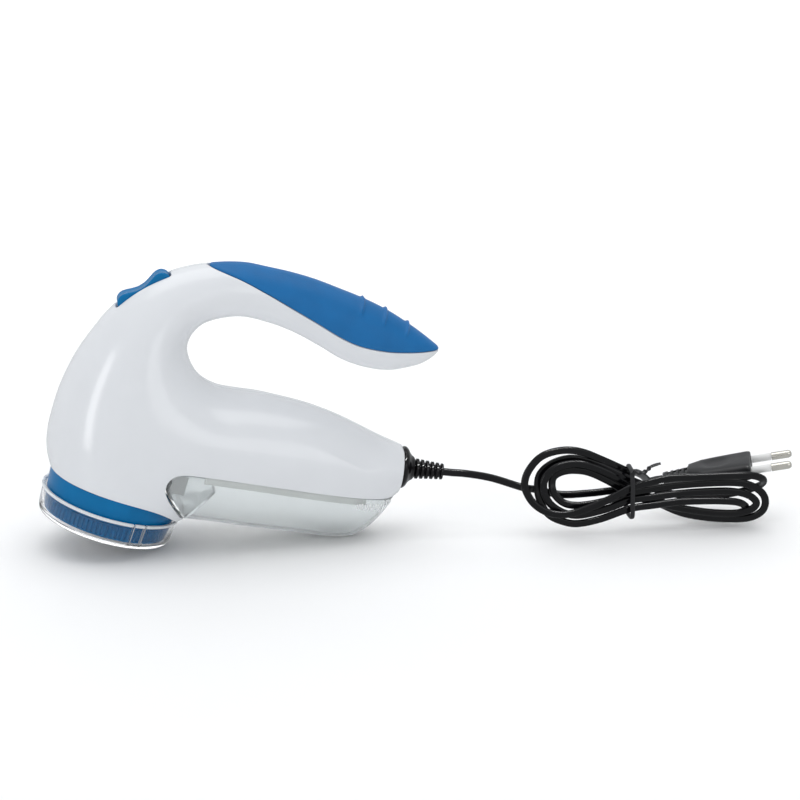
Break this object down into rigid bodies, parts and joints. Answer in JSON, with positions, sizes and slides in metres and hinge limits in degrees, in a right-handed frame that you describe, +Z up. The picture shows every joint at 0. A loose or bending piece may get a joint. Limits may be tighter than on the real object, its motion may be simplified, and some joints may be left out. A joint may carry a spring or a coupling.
{
  "type": "fabric shaver",
  "caption": "Corded fabric shaver: a rounded head with a capped cutting foil, an open curved handle above a clear lint box, a rocker switch and a bundled mains cord with a plug.",
  "frame": {"origin": "on the table under the middle of the shaver, cord left out; the shaver stands as it rests, on its cap's rear rim and the foot of its lint box", "axes": "+X from the cutting head to the tail and the cord, +Z up, +Y to the side whose housing half holds the screws"},
  "size_m": [0.381, 0.0702, 0.1412],
  "materials": {
    "white": "glossy white housing plastic",
    "blue": "blue semi-gloss plastic",
    "soft": "blue soft-touch skin with a fine pebble grain",
    "clear": "clear, faintly green plastic",
    "cream": "cream plastic",
    "rubber": "black flexible plastic",
    "black": "black plastic",
    "steel": "steel",
    "nickel": "nickel plate",
    "copper": "copper winding and segments",
    "magnet": "dark ferrite",
    "board": "green circuit board",
    "sleeve": "white plastic",
    "red": "red-brown coating",
    "bluewire": "blue insulation",
    "redwire": "red insulation",
    "greyres": "grey-blue coating"
  },
  "bodies": {
    "housing": {"left_shell": "white", "right_shell": "white", "neck_collar": "blue", "handle_grip": "soft", "body_floor": "cream", "strain_relief": "rubber", "power_cord": "rubber", "cord_tie": "rubber", "plug_body": "black", "cord_clamp": "black", "switch_housing": "black", "bridge_rectifier": "black", "fan_housing": "black", "motor_mount": "black", "motor_end_cap": "black", "lint_duct": "black", "clamp_screw_1": "steel", "clamp_screw_2": "steel", "shell_screw_1": "steel", "shell_screw_2": "steel", "shell_screw_3": "steel", "shell_screw_4": "steel", "shell_screw_5": "steel", "motor_can": "steel", "plug_pin_1": "nickel", "plug_pin_2": "nickel", "motor_bearing_front": "nickel", "motor_bearing_rear": "nickel", "motor_terminal_1": "nickel", "motor_terminal_2": "nickel", "switch_terminal_1": "nickel", "switch_terminal_2": "nickel", "switch_terminal_3": "nickel", "motor_magnet_a": "magnet", "motor_magnet_b": "magnet", "circuit_board": "board", "pin_sleeve_1": "sleeve", "pin_sleeve_2": "sleeve", "film_capacitor": "red", "dropper_resistor": "greyres", "supply_lead_1": "bluewire", "supply_lead_2": "bluewire", "motor_lead_1": "redwire", "motor_lead_2": "redwire"},
    "rotor": {"motor_shaft": "steel", "armature": "copper", "commutator": "copper", "suction_fan": "sleeve", "cutter_hub": "black", "cutter_blade_1": "steel", "cutter_blade_2": "steel", "cutter_blade_3": "steel"},
    "rocker": {"rocker_button": "blue"},
    "cap": {"protective_cap": "clear"},
    "foil_unit": {"foil_ring": "blue", "shaving_foil": "steel"},
    "box": {"lint_box": "clear", "box_seal": "cream"}
  },
  "joints": [
    {"name": "rotor_spin", "type": "hinge", "parent": "housing", "child": "rotor", "pos_m": [-0.0691, 0, 0.0096], "axis": [0.3007, 0, 0.9537], "continuous": true},
    {"name": "rocker_tilt", "type": "hinge", "parent": "housing", "child": "rocker", "pos_m": [-0.0451, 0, 0.1266], "axis": [0, 1, 0], "range_deg": [-7, 7]},
    {"name": "cap_pull", "type": "slide", "parent": "housing", "child": "cap", "axis": [-0.3007, 0, -0.9537], "range_m": [0, 0.02]},
    {"name": "foil_turn", "type": "hinge", "parent": "housing", "child": "foil_unit", "pos_m": [-0.0691, 0, 0.0096], "axis": [0.3007, 0, 0.9537], "range_deg": [0, 20]},
    {"name": "box_slide", "type": "slide", "parent": "housing", "child": "box", "axis": [0.9748, 0, -0.2233], "range_m": [0, 0.11]}
  ]
}
